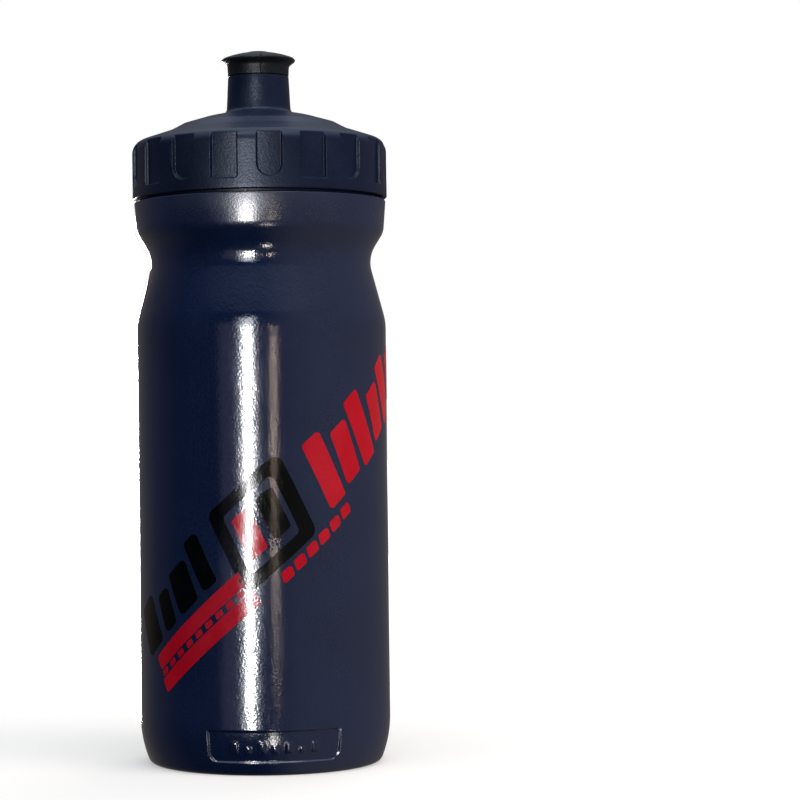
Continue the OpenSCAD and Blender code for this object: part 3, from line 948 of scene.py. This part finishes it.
def sleeveOutline():
    low, top, tip, m = sleeveLow.z / mm, sleeveHigh.z / mm, tipLow.z / mm, mouth
    r, bore, seat, stop, flange = (m[k] for k in ("sleeve", "bore", "ringSeat", "stop", "flange"))
    seatLow, seatHigh = low + m["ringLow"], low + m["ringHigh"]
    flangeLow, flangeHigh = tip + m["flangeLow"], tip + m["flangeHigh"]
    return closedRing([
        (bore, low, 0.2), (r, low, 0.3), (r, seatLow, 0.08), (seat, seatLow, 0.1),
        (seat, seatHigh, 0.1), (r, seatHigh, 0.08), (r, low + 3.25, 0.08), (stop, low + 3.4, 0.2),
        (stop, low + 4.3, 0.2), (r, low + 4.5, 0.1), (r, flangeLow, 0.05), (flange, flangeLow, 0.1),
        (flange, flangeHigh, 0.1), (r, flangeHigh, 0.05), (r, top, 0.1), (bore, top, 0.1)])


def pinOutline():
    low, top, stem, tip = pinLow.z / mm, pinHigh.z / mm, pin["stem"], pin["tip"]
    return rounded([
        (0, low, 0), (stem, low, 0.2), (stem, top - 6.2, 1), (tip, top - 4.8, 1),
        (tip, top - 0.1, 0.45), (1.2, top + 0.02, 1), (0.75, top - 0.12, 0.15),
        (0.45, top - 0.02, 0.2), (0, top, 0)])


def makePin():
    # the pin, its pressed-in ring and the three legs between them, all one moulding
    low = pinLow.z / mm
    inside, outside, top = pin["ringIn"], pin["ringOut"], low + pin["ringTall"]
    ring = closedRing([
        (inside, low, 0.2), (outside, low, 0.2), (outside, top, 0.3), (inside, top, 0.3)])
    parts = [turnedMesh(name, dense(inMm(outline), mm), pinPlastic, Segments=160)
             for name, outline in (("pin", pinOutline()), ("ring", ring))]
    middle = Vector((pin["legMiddle"], 0, low + pin["ringTall"] / 2)) * mm
    bm = bmesh.new()
    for turn in pin["legTurns"]:
        made = bmesh.ops.create_cube(bm, size=1)["verts"]
        move = (Matrix.Rotation(math.radians(turn), 4, "Z") @ Matrix.Translation(middle)
                @ Matrix.Diagonal((*(v * mm for v in pin["legSize"]), 1)))
        bmesh.ops.transform(bm, matrix=move, verts=made)
    bmesh.ops.bevel(bm, geom=bm.edges[:], offset=pin["legEdge"] * mm, segments=3, profile=0.5,
                    affect="EDGES")
    legs = bpy.data.meshes.new("legs")
    bm.to_mesh(legs)
    bm.free()
    piece = joined("valvePin", parts + [legs], pinPlastic)
    given(piece, "cap", "valve_pin")


turnedPiece("mouthTip", tipOutline(), tipRubber, "mouthpiece", "mouthpiece_tip", 0.6)
turnedPiece("mouthSleeve", sleeveOutline(), sleevePlastic, "mouthpiece", "mouthpiece_sleeve",
            1.2)
makePin()
gasketOutline = closedRing([
    (gasketInner, gasketLow.z / mm, 0.35), (gasketHigh.x / mm, gasketLow.z / mm, 0.35),
    (gasketHigh.x / mm, gasketHigh.z / mm, 0.35), (gasketInner, gasketHigh.z / mm, 0.35)])
turnedPiece("gasketRing", gasketOutline, gasketRubber, "seal", "cap_gasket")
ringR = (ringHigh.z - ringLow.z) / 2 / mm
ringOutline = arc(ringHigh.x / mm - ringR, (ringLow.z + ringHigh.z) / 2 / mm, ringR, 0, 360, 20)
turnedPiece("sealRing", ringOutline, ringRubber, "nozzle_ring", "sleeve_oring")
print("mouthpiece, pin and seals made")


# slope in degrees; centre as distance round the wall and height; film and grid in mm
ink = {
    "slope": 41, "centre": (-2, 74), "lift": 0.07, "sink": 0.06, "grid": 1.3}


def slanted(a, b):
    # print coordinates (along and across the slope, in mm) to the flat wall (round it, up)
    t = math.radians(ink["slope"])
    u, z = ink["centre"]
    return u + a * math.cos(t) - b * math.sin(t), z + a * math.sin(t) + b * math.cos(t)


def softShape(corners, radius):
    # closed outline in print coordinates with its corners rounded
    first = [(p + q) / 2 for p, q in zip(corners[0], corners[-1])]
    line = rounded([(*first, 0)] + [(*c, radius) for c in corners] + [(*first, 0)], 5)[:-1]
    return [slanted(*p) for p in dense(line + [line[0]], 1.2)[:-1]]


def block(a, b, length, tall, lean=0.0, radius=0.5):
    return softShape([(a, b), (a + length, b), (a + length + lean, b + tall), (a + lean, b + tall)],
                     radius)


def insideLine(p, line):
    hit = False
    for (x0, y0), (x1, y1) in zip(line, line[1:] + line[:1]):
        if (y0 > p.y) != (y1 > p.y) and p.x < x0 + (p.y - y0) * (x1 - x0) / (y1 - y0):
            hit = not hit
    return hit


def faceRank(face):
    # one number for each set of corners, as digits in a base above every corner's own number
    rank = 0
    for corner in sorted(v.index for v in face.verts):
        rank = rank * 8192 + corner
    return rank


def inkMesh(name, outlines):
    # fills each outline with small faces, then gives the film its thickness
    verts, faces = [], []
    for line in outlines:
        line, hole = line if isinstance(line, tuple) else (line, [])
        us, zs = [p[0] for p in line], [p[1] for p in line]
        points = [Vector(p) for p in line + hole]
        rim = len(points)
        step = ink["grid"]
        for i in range(int(min(us) // step), int(max(us) // step) + 2):
            for j in range(int(min(zs) // step), int(max(zs) // step) + 2):
                p = Vector((i * step, j * step))
                gap = min((p - q).length for q in points[:rim])
                if gap > 0.55 * step:
                    points.append(p)
        ring = list(range(len(line)))
        cut = [(k, k + 1) for k in range(len(line), rim - 1)]
        cut += [(rim - 1, len(line))] if hole else []
        coords, _, made, *_ = geometry.delaunay_2d_cdt(points, cut, [ring], 1, 1e-6)
        made = [f for f in made
                if not hole or not insideLine(sum((coords[k] for k in f), Vector((0, 0))) / 3, hole)]
        base = len(verts)
        verts += [(p.x * mm, ink["lift"] * mm, p.y * mm) for p in coords]
        faces += [tuple(base + k for k in f) for f in made]
    flat = meshFrom(name, verts, faces=faces)
    bm = bmesh.new()
    bm.from_mesh(flat)
    made = bmesh.ops.extrude_face_region(bm, geom=bm.faces[:])
    moved = [e for e in made["geom"] if isinstance(e, bmesh.types.BMVert)]
    bmesh.ops.translate(bm, verts=moved, vec=(0, -(ink["lift"] + ink["sink"]) * mm, 0))
    bm.verts.index_update()
    bm.faces.sort(key=faceRank)  # the extrusion lists its side faces in no fixed order
    bm.to_mesh(flat)
    bm.free()
    return flat


def printPiece(name, outlines, material):
    film = wrappedMesh(name, inkMesh(name, outlines), material, bodyR)
    piece = joined(name, [film], material, wallWave)
    piece.data.set_sharp_from_angle(angle=math.radians(40))
    given(piece, "bottle", None)


def redShapes():
    # a slanted band with a row of slots, a bar in the badge, a row of dashes and tall strokes
    shapes = [block(-56, -10.8, 38.5, 4.2, 1.0, 0.8), block(-58, -17.4, 40.5, 4.2, 1.0, 0.8)]
    shapes += [block(-56.2 + 4.3 * k, -12.8, 2.6, 1.6, 0.5, 0.3) for k in range(9)]
    shapes.append(block(-11.9, -7.0, 6.4, 12.5, 3.4, 1.2))
    shapes += [block(-9 + 5.1 * k, -18.0 + 0.2 * k, 4.0, 3.0, 1.2, 0.8) for k in range(6)]
    heights = (20, 15.5, 20, 14, 18, 13)
    shapes += [block(15.5 + 9.1 * k, -12.0 + 1.2 * (k % 2), 6.9, h, 5.0, 1.1)
               for k, h in enumerate(heights)]
    return shapes


def blackShapes():
    # the badge's slanted frame and second bar, and the row of bold blocks behind it
    frameLine = softShape([(-19.5, -13.5), (8.0, -13.5), (14.5, 11.5), (-13, 11.5)], 3.0)
    opening = softShape([(-14.6, -9.9), (4.2, -9.9), (9.0, 7.9), (-9.8, 7.9)], 1.6)
    shapes = [(frameLine, opening), block(-3.0, -7.0, 6.4, 12.5, 3.4, 1.2)]
    widths, heights = (9.0, 5.6, 8.2, 5.6), (14, 10.5, 12, 15)
    at = -58.5
    for wide, tall in zip(widths, heights):
        shapes.append(block(at, -4.4, wide, tall, 3.8, 1.4))
        at += wide + 2.4
    return shapes


printPiece("redPrint", redShapes(), redInk)
printPiece("blackPrint", blackShapes(), blackInk)
print("print made")
